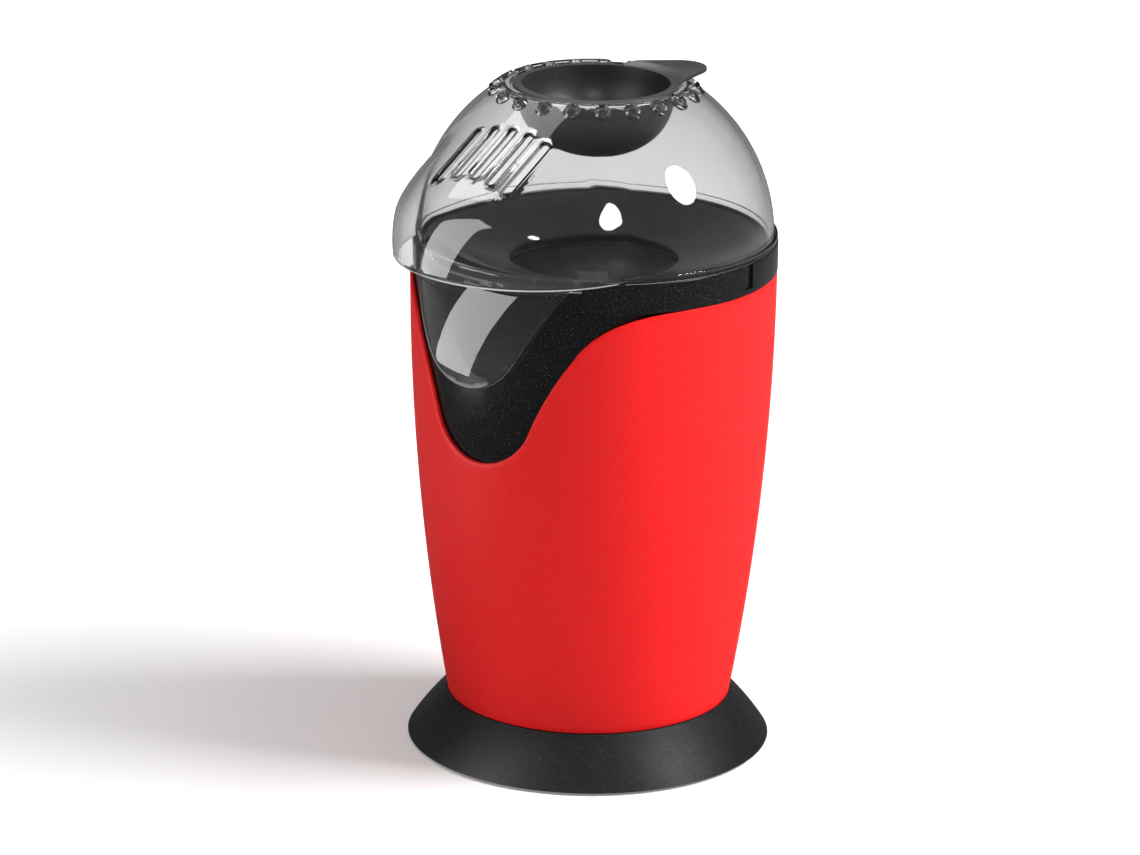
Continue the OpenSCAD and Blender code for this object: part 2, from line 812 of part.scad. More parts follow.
base_ring();
base_plate();
rubber_feet();
base_screws();
housing();
top_housing();
chamber_gasket();
popping_chamber();
chamber_screws();
air_duct();
mica_tube();
heating_coil();
coil_terminals();
thermostat();
thermal_fuse();
fan_housing();
deck_screws();
motor_screws();
impeller();
motor_shaft();
armature();
motor_magnets();
motor_brushes();
motor_can();
motor_end_cap();
motor_bushes();
rectifier_board();
diodes();
capacitor();
switch_frame();
switch_rocker();
switch_terminals();
cord_gland();
wiring();
dome_cover();
measuring_cup();
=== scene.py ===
"""Looks of the popcorn maker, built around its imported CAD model.

Shapes are worked out in millimetres, in the same frame as the CAD, and become metres in solid().
Angles around the axis are measured from the front (-Y) towards +X, so (sin a, -cos a) points outwards.
"""
import json
import math

import bmesh
import bpy
import numpy as np
from mathutils import Matrix, Vector, geometry, kdtree


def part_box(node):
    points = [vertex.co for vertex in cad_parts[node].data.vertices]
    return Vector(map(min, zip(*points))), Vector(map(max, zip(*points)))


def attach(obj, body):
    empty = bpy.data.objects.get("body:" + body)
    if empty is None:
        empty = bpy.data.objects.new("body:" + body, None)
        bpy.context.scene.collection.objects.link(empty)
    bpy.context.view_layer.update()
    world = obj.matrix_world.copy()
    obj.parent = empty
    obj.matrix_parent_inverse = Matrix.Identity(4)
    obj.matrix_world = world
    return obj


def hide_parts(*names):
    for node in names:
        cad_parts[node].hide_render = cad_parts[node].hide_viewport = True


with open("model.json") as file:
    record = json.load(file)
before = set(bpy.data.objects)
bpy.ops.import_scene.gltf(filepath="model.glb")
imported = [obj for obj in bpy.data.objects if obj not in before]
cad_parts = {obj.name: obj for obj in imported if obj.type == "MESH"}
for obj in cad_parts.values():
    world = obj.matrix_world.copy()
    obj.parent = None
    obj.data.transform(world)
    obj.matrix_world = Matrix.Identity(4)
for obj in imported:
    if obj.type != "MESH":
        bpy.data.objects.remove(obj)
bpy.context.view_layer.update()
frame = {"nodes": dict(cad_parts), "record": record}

MM = 0.001
TURN = 2 * math.pi
SEGMENTS = 240
SMOOTH_ANGLE = math.radians(38)


def top_of(node):
    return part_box(node)[1].z / MM


def radius_of(node):
    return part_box(node)[1].x / MM


# ---------------------------------------------------------------- sizes, in mm

RING_TOP_Z = top_of("top_housing")
RING_R = radius_of("top_housing")
SHELL_LOW_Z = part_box("housing")[0].z / MM
SHELL_TOP_Z = top_of("housing")
SHELL_R = radius_of("housing")
SHELL_WIDE_Z = 215
SHELL_CURVE_R = 1100
SHELL_WALL = 2
CUT_R, CUT_Z, CUT_SLOPE = 27.5, 172, math.radians(62)
CUT_HALF_W, CUT_FLARE_Z = 43.4, 195.7
SWITCH_HALF_W, SWITCH_LOW_Z, SWITCH_TOP_Z, SWITCH_CORNER = 8.7, 36.3, 59.7, 1.2

BIB_GROW, BIB_GAP, BIB_WALL, BIB_TOP_Z = 3.5, 2.2, 2, 216.7
BIB_REACH = 0.985                        # sine of the angle at which the bib's sides stop
CHANNEL_Z, CHANNEL_IN_R = 224.8, 74      # groove that the dome's skirt stands in
SKIRT_R, SKIRT_GAP = 77.9, 0.5
SPIGOT_R, SPIGOT_OUT_R, SPIGOT_LOW_Z, SPIGOT_TOP_Z = 75.3, 77.2, 208, 217.2
RECESS_R, RECESS_Z, RECESS_ANGLE = 77.2, 216, math.radians(35.5)
RECESS_OUT_R = 95
CHUTE_R, CHUTE_OUT_R, CHUTE_LOW_Z, CHUTE_HALF = 56, 76.6, 221.4, 47                   # degrees
STEP_R, LIP_R, LIP_BACK, LIP_LOW_Z, LIP_TOP_Z = 77.9, 85, 23, 210, 250
RING_NOTCH_R, RING_NOTCH_OUT_R, RING_NOTCH_HALF_W, RING_NOTCH_Z = 78.8, 90, 3, 218.5
RING_NOTCH_ANGLES = math.radians(-95), math.radians(95)
ABOVE_Z = 240                            # above the part, for what is cut away

DOME_R, DOME_Z = 78.2, 230.1
DOME_WALL = 2.2
DOME_TOP_Z = 297.2
MOUTH_R = 42.05                          # the cup's opening, as an arc along the dome from its pole
HOOD_CENTRE = np.array([0, -41, 236 - DOME_Z])
HOOD_R, HOOD_BLEND = 60.47, 7.0
ROOF_R, ROOF_TILT, ROOF_BLEND = 76.3, math.radians(30), 2.5
VENTS, VENT_POLAR, VENT_R = 21, math.radians(33.8), 2.5
SLOTS, SLOT_PITCH, SLOT_W, SLOT_LOW, SLOT_HIGH = 5, 9.3, 3.8, -48, -20.5
VENT_BEAD, SLOT_BEAD = (0.6, 0.9, 1.3), (0.4, 1.1, 0.6)     # flat beside the edge, width, height
EDGE_LIP, MOUTH_LIP, VENT_LIP, SLOT_LIP = 1.05, 0.5, 0.6, 0.9
SEAT_R, SEAT_STEP_R, SEAT_TOP_R, SEAT_OUT_R = 35, 37, 39.2, 39.5
SEAT_LOW_Z, SEAT_Z, SEAT_SHOULDER_Z = 293.2, 295.4, 296.9
SKIRT_IN_R, SKIRT_LOW_Z, SKIRT_TOP_Z = 75.6, 225.4, 230.3
FLANGE_R, FLANGE_TOP_R, FLANGE_OUT_R, FLANGE_TOP_Z = 76.6, 77.4, 79.7, 232.3
FLANGE_ANGLE = math.radians(48.6)        # where it ends, to each side of the front
COLLAR_R, COLLAR_OUT_R, COLLAR_LOW_Z, COLLAR_Z = 38.2, 40.2, 295.8, 298.3
COLLAR_MIDDLE, COLLAR_HALF = 247, 34.5                                                # degrees
TAB_R, TAB_OUT_R, TAB_LOW_Z, TAB_TOP_Z = 75.9, 77.7, 229, 234.6
TAB_MIDDLE, TAB_HALF = 38.5, 4.5                                                      # degrees
SEAT_NOTCH_R, SEAT_NOTCH_OUT_R, SEAT_NOTCH_HALF_W = 34, 42, 2.5
SEAT_NOTCH_Z, SEAT_NOTCH_TOP_Z, SEAT_NOTCH_ANGLE = 296.2, 305, math.radians(96)
TONGUE_OUT, TONGUE_Z, TONGUE_ARC, TONGUE_WALL = 86.3, 188, 103, 2
TONGUE_TIP_R, TONGUE_TIP_Z, TONGUE_SLOPE = 27, 206.5, math.radians(60)
TONGUE_HALF_W, TONGUE_CORNER = 42.5, 14

CUP_R, CUP_Z, CUP_DEEP, CUP_CURVE, CUP_WALL = 33.8, 293.6, 27.8, 0.89, 1.6
CUP_RIM_R, CUP_RIM_Z = 35.9, 297.4
HANDLE_ANGLE = math.radians(162.5)
HANDLE_TIP, HANDLE_TIP_R, HANDLE_HEIGHT = 55.3, 12, 1.8
HANDLE_ROOT = np.array([22.1, -28])
HANDLE_SEAM_R = 34


# ---------------------------------------------------------------- mesh helpers

def rounded(points, radius, closed=True):
    """An outline with its corners rounded. radius is one number, or one for each corner."""
    pts = [np.array(p, float) for p in points]
    radii = radius if hasattr(radius, "__len__") else [radius] * len(pts)
    out = []
    for i, p in enumerate(pts):
        before, after = pts[i - 1], pts[(i + 1) % len(pts)]
        if radii[i] <= 0 or (not closed and i in (0, len(pts) - 1)):
            out.append(p)
            continue
        reach_a = min(radii[i] / np.linalg.norm(before - p), 0.45)
        reach_b = min(radii[i] / np.linalg.norm(after - p), 0.45)
        a, b = p + (before - p) * reach_a, p + (after - p) * reach_b
        for t in np.linspace(0, 1, 5):
            out.append((1 - t) ** 2 * a + 2 * t * (1 - t) * p + t * t * b)
    return out


def rectangle(x0, x1, y0, y1):
    return [(x0, y0), (x1, y0), (x1, y1), (x0, y1)]


def arc(r, start, end, steps, middle=0):
    """Points of a circle from one angle to another. middle moves its centre along the second axis."""
    return [(r * math.sin(a), middle - r * math.cos(a)) for a in np.linspace(start, end, steps)]


def spokes(angles):
    """Unit vectors that point outwards at the given angles."""
    return np.stack([np.sin(angles), -np.cos(angles)], 1)


def around(angles, radii, heights):
    return np.stack([radii * np.sin(angles), -radii * np.cos(angles), heights], 1)


def resample(line, step, closed=True):
    """Points about one step apart along an outline or an open line, its corners kept."""
    line = np.array(line, float)
    out = []
    for p, q in zip(line, np.roll(line, -1, 0) if closed else line[1:]):
        n = max(1, int(round(np.linalg.norm(q - p) / step)))
        out += [p + (q - p) * k / n for k in range(n)]
    return np.array(out if closed else out + [line[-1]])


def outward(loop):
    """The unit normals of a closed outline that runs anticlockwise, pointing out of it."""
    t = np.roll(loop, -1, 0) - np.roll(loop, 1, 0)
    n = np.stack([t[:, 1], -t[:, 0]], 1)
    return n / np.linalg.norm(n, axis=1)[:, None]


def anticlockwise(loop):
    x, y = loop[:, 0], loop[:, 1]
    area = np.sum(x * np.roll(y, -1) - np.roll(x, -1) * y)
    return loop if area > 0 else loop[::-1]


def inside(points, loop):
    """Which of the points lie inside a closed outline."""
    hit = np.zeros(len(points), bool)
    x, y = points[:, 0], points[:, 1]
    for (x0, y0), (x1, y1) in zip(loop, np.roll(loop, -1, 0)):
        if y0 != y1:
            crosses = (y0 > y) != (y1 > y)
            hit ^= crosses & (x < (x1 - x0) * (y - y0) / (y1 - y0) + x0)
    return hit


def between(points, loops):
    """Which of the points lie inside the first outline and outside the others, its holes."""
    keep = inside(points, loops[0])
    for hole in loops[1:]:
        keep &= ~inside(points, hole)
    return keep


def far_from(points, others, gap):
    """Which of the points are at least gap from all the others."""
    tree = kdtree.KDTree(len(others))
    for i, p in enumerate(others):
        tree.insert(p, i)
    tree.balance()
    return np.array([tree.find(p)[2] >= gap for p in points], bool)


def turned(points, a):
    """Points drawn towards the front (-Y), turned to angle a around the axis."""
    c, s = math.cos(a), math.sin(a)
    return [(x * c - y * s, x * s + y * c) for x, y in points]


def new_object(name, data):
    obj = bpy.data.objects.new(name, data)
    bpy.context.scene.collection.objects.link(obj)
    return obj


def soften(obj):
    """Smooth shading, except across sharp corners."""
    obj.data.shade_smooth()
    obj.data.set_sharp_from_angle(angle=SMOOTH_ANGLE)


def solid(name, verts, faces):
    """A closed mesh object from points in mm."""
    mesh = bpy.data.meshes.new(name)
    mesh.from_pydata([tuple(float(c) * MM for c in v) for v in verts], [], faces)
    bm = bmesh.new()
    bm.from_mesh(mesh)
    bmesh.ops.remove_doubles(bm, verts=bm.verts, dist=1e-7)
    bmesh.ops.recalc_face_normals(bm, faces=bm.faces)
    bm.to_mesh(mesh)
    bm.free()
    obj = new_object(name, mesh)
    soften(obj)
    return obj


def lathe(name, profile, segments=SEGMENTS, span=None):
    """A solid turned around the axis from a closed profile of (r, z), or over span, two angles."""
    n = len(profile)
    low, high = span or (0, TURN)
    verts, faces = [], []
    for k in range(segments + bool(span)):
        a = low + (high - low) * k / segments
        verts += [(r * math.sin(a), -r * math.cos(a), z) for r, z in profile]
    for k in range(segments):
        here, there = k * n, (k + 1) % (segments + bool(span)) * n
        for i in range(n):
            j = (i + 1) % n
            faces.append((here + i, there + i, there + j, here + j))
    if span:
        faces += [tuple(range(n)), tuple(range(segments * n, segments * n + n))]
    return solid(name, verts, faces)


def prism(name, outline, z0, z1, edge=0.0):
    """An upright solid with a flat outline and chamfered rims."""
    loop = anticlockwise(np.array(outline, float))
    out = outward(loop)
    rows = [(z0, edge), (z0 + edge, 0), (z1 - edge, 0), (z1, edge)] if edge else [(z0, 0), (z1, 0)]
    n = len(loop)
    verts = [(*(p - o * inset), z) for z, inset in rows for p, o in zip(loop, out)]
    faces = [tuple(range(n))[::-1], tuple(range((len(rows) - 1) * n, len(rows) * n))]
    for r in range(len(rows) - 1):
        faces += [(r * n + i, r * n + (i + 1) % n, (r + 1) * n + (i + 1) % n, (r + 1) * n + i)
                  for i in range(n)]
    return solid(name, verts, faces)


def band(name, r0, r1, z0, z1, middle, half, edge):
    """Part of a ring with chamfered rims. Its angles, middle and half its width, are in degrees."""
    a0, a1 = math.radians(middle - half), math.radians(middle + half)
    return prism(name, arc(r1, a0, a1, 36) + arc(r0, a1, a0, 36), z0, z1, edge)


def mesh_points(rims, lift, spacing, extra, grid):
    """Map points for a wall's mesh: its rims, then those of extra and grid that are clear of them."""
    rim_points = np.concatenate(rims)
    kept = [rim_points]
    for points, gap in ((extra, 0.25), (grid, 0.6)):
        if len(points):
            points = np.array(points, float)
            points = points[between(points, rims)]
            points = points[far_from(lift(points, 0.0), lift(rim_points, 0.0), spacing * gap)]
            if len(kept) > 1:
                points = points[far_from(lift(points, 0.0), lift(kept[1], 0.0), spacing * 0.6)]
            kept.append(points)
    return np.concatenate(kept)


def wall(name, outline, holes, lift, spacing, lip, extra=(), grid=None):
    """A curved wall with holes, as one closed solid with rounded edges.

    outline and holes are in a flat map, and lift(points, depth) places map points on the wall:
    depth 0 is its outer face and depth 1 its inner one. lip is how far the edges' rounding reaches
    in, as one number or one for each outline. extra are points that the mesh keeps near
    the details, and grid, if given, are the points between, in place of an even pattern.
    """
    loops = [anticlockwise(np.array(l, float)) for l in [outline, *holes]]
    outs = [outward(l) * (1 if i == 0 else -1) for i, l in enumerate(loops)]
    probe = 0.01
    outs = [o / np.linalg.norm(lift(l + o * probe, 0.0) - lift(l - o * probe, 0.0), axis=1)[:, None]
            * (2 * probe) for l, o in zip(loops, outs)]
    lips = lip if hasattr(lip, "__len__") else [lip] * len(loops)
    rims = [l - o * w for l, o, w in zip(loops, outs, lips)]
    if grid is None:
        low, high = rims[0].min(0), rims[0].max(0)
        ys = np.arange(low[1], high[1], spacing * 0.866)
        grid = [(x + (j % 2) * spacing / 2, y)
                for j, y in enumerate(ys) for x in np.arange(low[0], high[0], spacing)]
    edges, start = [], 0
    for rim in rims:
        n = len(rim)
        edges += [(start + i, start + (i + 1) % n) for i in range(n)]
        start += n
    points = mesh_points(rims, lift, spacing, extra, grid)
    flat, _, tris, origin, _, _ = geometry.delaunay_2d_cdt([Vector(p) for p in points], edges, [], 0, 1e-6)
    flat, tris = np.array([tuple(p) for p in flat]), np.array(tris)
    tris = tris[between(flat[tris].mean(1), rims)]
    index = {s: i for i, sources in enumerate(origin) for s in sources}
    count = len(flat)
    verts = list(lift(flat, 0.0)) + list(lift(flat, 1.0))
    faces = [tuple(t) for t in tris] + [tuple(t[::-1] + count) for t in tris]
    start = 0
    for rim, out, width in zip(rims, outs, lips):
        n = len(rim)
        rows = [[index[start + i] for i in range(n)]]
        for turn in (30, 60, 90, 120, 150):
            swell, depth = math.sin(math.radians(turn)), (1 - math.cos(math.radians(turn))) / 2
            rows.append(list(range(len(verts), len(verts) + n)))
            verts += list(lift(rim + out * width * swell, depth))
        rows.append([index[start + i] + count for i in range(n)])
        for a, b in zip(rows, rows[1:]):
            faces += [(a[i], b[i], b[(i + 1) % n], a[(i + 1) % n]) for i in range(n)]
        start += n
    used = sorted({i for f in faces for i in f})
    number = {v: k for k, v in enumerate(used)}
    return solid(name, [verts[i] for i in used], [tuple(number[i] for i in f) for f in faces])


def combine(base, others, operation):
    """Joins the other solids to the base, or cuts them out of it, and removes them."""
    for other in others:
        step = base.modifiers.new("combine", "BOOLEAN")
        step.operation, step.solver, step.object = operation, "MANIFOLD", other
    bpy.context.view_layer.update()
    graph = bpy.context.evaluated_depsgraph_get()
    mesh = bpy.data.meshes.new_from_object(base.evaluated_get(graph))
    old = base.data
    base.modifiers.clear()
    base.data = mesh
    mesh.name = base.name
    bpy.data.meshes.remove(old)
    for other in others:
        bpy.data.objects.remove(other)
    soften(base)
    return base


def join(base, *others):
    return combine(base, others, "UNION")


def cut(base, *others):
    return combine(base, others, "DIFFERENCE")


# ---------------------------------------------------------------- red shell

RING_MAP_R = 75.0


def shell_radius(z):
    return SHELL_R - SHELL_CURVE_R + np.sqrt(SHELL_CURVE_R ** 2 - (z - SHELL_WIDE_Z) ** 2)


def cut_outline(grow=0.0):
    """The front cut-out's edge as (x, z), from its right top corner down and up to the left one."""
    flare = (SHELL_TOP_Z - CUT_FLARE_Z) / (1 - math.cos(CUT_SLOPE))
    centre = CUT_HALF_W + grow + flare * math.sin(CUT_SLOPE)
    right = [(centre - flare * math.sin(t), SHELL_TOP_Z - flare + flare * math.cos(t))
             for t in np.linspace(0.02, CUT_SLOPE, 16)]
    half = right + arc(CUT_R + grow, CUT_SLOPE, 0, 20, CUT_Z)
    return half + [(-x, z) for x, z in half[::-1][1:]]


def to_ring_map(a, z):
    """A map of a round body: rings become circles, with the top inside. It keeps angles."""
    rho = RING_MAP_R * np.exp((SHELL_TOP_Z - z) / RING_MAP_R)
    return np.stack([rho * np.sin(a), -rho * np.cos(a)], -1)


def lift_shell(points, depth):
    rho = np.hypot(points[:, 0], points[:, 1])
    z = SHELL_TOP_Z - RING_MAP_R * np.log(rho / RING_MAP_R)
    return around(np.arctan2(points[:, 0], -points[:, 1]), shell_radius(z) - depth * SHELL_WALL, z)


def make_housing():
    """The shell, with its rounded V in front and the switch's hole at the back."""
    fine, spacing, columns = 0.9, 2.6, 170
    x, z = np.array(cut_outline()[::-1]).T
    cut_edge = to_ring_map(np.arcsin(x / shell_radius(z)), z)
    reach = math.asin(x[-1] / shell_radius(z[-1]))
    rim = [(a, SHELL_TOP_Z) for a in np.linspace(reach, TURN - reach, 260)[1:-1]]
    top = [*resample(cut_edge, fine, closed=False), *to_ring_map(*np.array(rim).T)]
    low = to_ring_map(np.linspace(0, TURN, 300, endpoint=False), np.full(300, SHELL_LOW_Z))
    x, z = resample(rounded(rectangle(-SWITCH_HALF_W, SWITCH_HALF_W, SWITCH_LOW_Z, SWITCH_TOP_Z),
                            SWITCH_CORNER), fine).T
    switch_hole = to_ring_map(math.pi - np.arcsin(x / shell_radius(z)), z)
    grid = [to_ring_map(a + (k % 2) * TURN / (2 * columns), level)
            for k, level in enumerate(np.arange(SHELL_LOW_Z, SHELL_TOP_Z, spacing))
            for a in np.linspace(0, TURN, columns, endpoint=False)]
    return wall("shell", low, [top, switch_hole], lift_shell, spacing, lip=0.6, grid=grid)


# ---------------------------------------------------------------- black top housing

BIB_MAP_R = 77

TOP_HOUSING_SECTION = [                  # radius, height and corner rounding
    (36.5, 216.5, 0.4), (36.5, 219.2, 0.5),                                # throat
    (37.2, 219.9, 0.8), (38.6, 220.1, 2), (70, 228.4, 6),                  # dish
    (CHANNEL_IN_R, RING_TOP_Z, 0.5), (CHANNEL_IN_R, CHANNEL_Z, 0.4),       # groove for the skirt
    (SKIRT_R + SKIRT_GAP, CHANNEL_Z, 0.4), (SKIRT_R + SKIRT_GAP, RING_TOP_Z, 0.4),
    (RING_R, RING_TOP_Z, 0.6), (RING_R, SHELL_TOP_Z, 0.5), (75.8, SHELL_TOP_Z, 0.3),      # ring
    (75.8, 222.6, 1), (72.8, 222.6, 1), (72.8, 226.6, 1),                  # underside
    (70, 226.2, 1), (45, 219.6, 2), (45, 216.5, 0.4),
]


def lift_bib(points, depth):
    """The bib follows the shell inside it. Its map is unrolled: angle times BIB_MAP_R, and z."""
    a, z = points[:, 0] / BIB_MAP_R, points[:, 1]
    return around(a, shell_radius(z) - BIB_GAP - depth * BIB_WALL, z)


def bib_outline():
    """The bib in its map: the cut-out's edge, grown, and two short sides up to the ring."""
    x, z = np.array(cut_outline(BIB_GROW)).T
    share = x / (shell_radius(z) - BIB_GAP)
    keep = np.abs(share) < BIB_REACH
    right = math.asin(BIB_REACH) * BIB_MAP_R
    line = [(BIB_MAP_R * math.asin(s), h) for s, h in zip(share[keep], z[keep])]
    return [(right, BIB_TOP_Z), (right, line[0][1])] + line + [(-right, line[-1][1]), (-right, BIB_TOP_Z)]


def make_top_housing():
    """The ring, dish, throat and bib, with the front recess that the tongue hangs through."""
    section = rounded([row[:2] for row in TOP_HOUSING_SECTION], [row[2] for row in TOP_HOUSING_SECTION])
    body = lathe("top_housing_moulding", section)
    bib = wall("bib", resample(bib_outline(), step=1.5), [], lift_bib, spacing=2.6, lip=0.5)
    spigot_section = rectangle(SPIGOT_R, SPIGOT_OUT_R, SPIGOT_LOW_Z, SPIGOT_TOP_Z)
    spigot = lathe("spigot", rounded(spigot_section, radius=0.4))
    infill = band("infill", CHUTE_R, CHUTE_OUT_R, CHUTE_LOW_Z, CHANNEL_Z, middle=0,
                  half=CHUTE_HALF, edge=0.2)
    join(body, bib, spigot, infill)
    recess = lathe("recess", rectangle(RECESS_R, RECESS_OUT_R, RECESS_Z, ABOVE_Z), segments=64,
                   span=(-RECESS_ANGLE, RECESS_ANGLE))
    half = math.radians(CHUTE_HALF)
    step = prism("step", [(0, 0)] + arc(STEP_R, -half, half, steps=24), CHANNEL_Z, ABOVE_Z)
    lip = arc(LIP_R, 0, TURN, SEGMENTS + 1, LIP_BACK)[:-1]
    cut(step, prism("lip", lip, LIP_LOW_Z, LIP_TOP_Z))
    notch = rectangle(-RING_NOTCH_HALF_W, RING_NOTCH_HALF_W, -RING_NOTCH_R, -RING_NOTCH_OUT_R)
    notches = [prism("notch", turned(notch, a), RING_NOTCH_Z, ABOVE_Z) for a in RING_NOTCH_ANGLES]
    return cut(body, recess, step, *notches)


# ---------------------------------------------------------------- clear dome

def smooth_min(a, b, width):
    h = np.maximum(width - np.abs(a - b), 0) / width
    return np.minimum(a, b) - h * h * width / 4


def dome_radius(d):
    """Distance from the dome's centre to its outer face along unit directions d."""
    along = d @ np.array([0, -math.cos(ROOF_TILT), -math.sin(ROOF_TILT)])
    roof = ROOF_R / np.sqrt(np.maximum(1 - along ** 2, 1e-4))
    towards = d @ HOOD_CENTRE
    front = towards + np.sqrt(np.maximum(towards ** 2 - HOOD_CENTRE @ HOOD_CENTRE + HOOD_R ** 2, 0))
    hood = smooth_min(roof, front, HOOD_BLEND)
    return -smooth_min(np.full(len(d), -DOME_R), -hood, ROOF_BLEND)


def direction(points):
    """Unit directions of map points, whose distance from the map's middle is the polar angle."""
    rho = np.maximum(np.hypot(points[:, 0], points[:, 1]), 1e-9)
    polar = rho / DOME_R
    return np.stack([np.sin(polar) * points[:, 0] / rho, np.sin(polar) * points[:, 1] / rho,
                     np.cos(polar)], 1)


def to_dome_map(places):
    d = places / np.linalg.norm(places, axis=1)[:, None]
    polar = np.arccos(d[:, 2])
    flat = d[:, :2] / np.linalg.norm(d[:, :2], axis=1)[:, None]
    return flat * (polar * DOME_R)[:, None]


def vent_centres():
    return VENT_POLAR * DOME_R * spokes((np.arange(VENTS) + 0.5) * TURN / VENTS)


def slot_centreline(k):
    """A roof slot's two ends, in the roof's own frame: x and the distance along its tilted axis."""
    row = k - (SLOTS - 1) / 2
    return row * SLOT_PITCH, SLOT_LOW - row ** 2, SLOT_HIGH - row ** 2 / 2


def slot_outline(k, grow=0.0):
    x, low, high = slot_centreline(k)
    r = SLOT_W / 2 + grow
    half_turn = np.linspace(0, math.pi, 14)
    ends = [(x + r * math.cos(t), high + r * math.sin(t)) for t in half_turn]
    ends += [(x - r * math.cos(t), low - r * math.sin(t)) for t in half_turn]
    flat = resample(ends, step=0.8)
    along, up = flat[:, 1], np.sqrt(ROOF_R ** 2 - flat[:, 0] ** 2)
    c, s = math.cos(ROOF_TILT), math.sin(ROOF_TILT)
    return to_dome_map(np.stack([flat[:, 0], along * c - up * s, along * s + up * c], 1))


def slot_distance(d):
    """Distance of unit directions d from the nearest slot's edge, measured across the roof."""
    p = d * dome_radius(d)[:, None]
    c, s = math.cos(ROOF_TILT), math.sin(ROOF_TILT)
    x, along = p[:, 0], p[:, 1] * c + p[:, 2] * s
    far = 1e3
    best = np.full(len(d), far)
    for k in range(SLOTS):
        sx, low, high = slot_centreline(k)
        best = np.minimum(best, np.hypot(x - sx, along - np.clip(along, low, high)) - SLOT_W / 2)
    return np.where(p[:, 1] < 0, best, far)


def bead(distance, land, width, height):
    """A rounded rim that rises beside an opening, past a flat land, and dies away over width."""
    t = np.clip((distance - land) / width, 0, 1)
    return height * (1 - t * t * (3 - 2 * t))


def dome_face(points):
    d = direction(points)
    vents = np.min(np.linalg.norm(points[:, None] - vent_centres()[None], axis=2), 1) - VENT_R
    r = dome_radius(d) + bead(vents, *VENT_BEAD) + bead(slot_distance(d), *SLOT_BEAD)
    return d * r[:, None]


def lift_dome(points, depth):
    h = 0.02
    e1, e2 = np.array([h, 0]), np.array([0, h])
    n = np.cross(dome_face(points + e1) - dome_face(points - e1),
                 dome_face(points + e2) - dome_face(points - e2))
    n /= np.linalg.norm(n, axis=1)[:, None]
    return dome_face(points) - n * depth * DOME_WALL + np.array([0, 0, DOME_Z])


def dome_rim():
    """The map's outline: the open edge of the dome and the hood, level with the ring's top."""
    a = np.linspace(0, TURN, 560, endpoint=False)
    polar = np.full(len(a), math.pi / 2)
    for _ in range(6):
        d = np.stack([np.sin(polar) * np.sin(a), -np.sin(polar) * np.cos(a), np.cos(polar)], 1)
        polar = np.arccos((RING_TOP_Z - DOME_Z) / dome_radius(d))
    return spokes(a) * (polar * DOME_R)[:, None]


def lift_tongue(points, depth):
    """The tongue bulges forwards as it hangs. Its map is the front view, x and z."""
    x, z = points.T
    outer = TONGUE_OUT - TONGUE_ARC + np.sqrt(TONGUE_ARC ** 2 - (z - TONGUE_Z) ** 2)
    return around(np.arcsin(x / outer), outer - depth * TONGUE_WALL, z)


def tongue_outline():
    """The tongue's round tip and its straight flanks up to the dome's edge."""
    tip = arc(TONGUE_TIP_R, -TONGUE_SLOPE, TONGUE_SLOPE, 44, TONGUE_TIP_Z)
    corner_z = tip[-1][1] + (TONGUE_HALF_W - tip[-1][0]) * math.tan(TONGUE_SLOPE)
    top = [(TONGUE_HALF_W, corner_z), (TONGUE_HALF_W, RING_TOP_Z),
           (-TONGUE_HALF_W, RING_TOP_Z), (-TONGUE_HALF_W, corner_z)]
    return rounded(tip + top, [0] * len(tip) + [TONGUE_CORNER, 0, 0, TONGUE_CORNER])


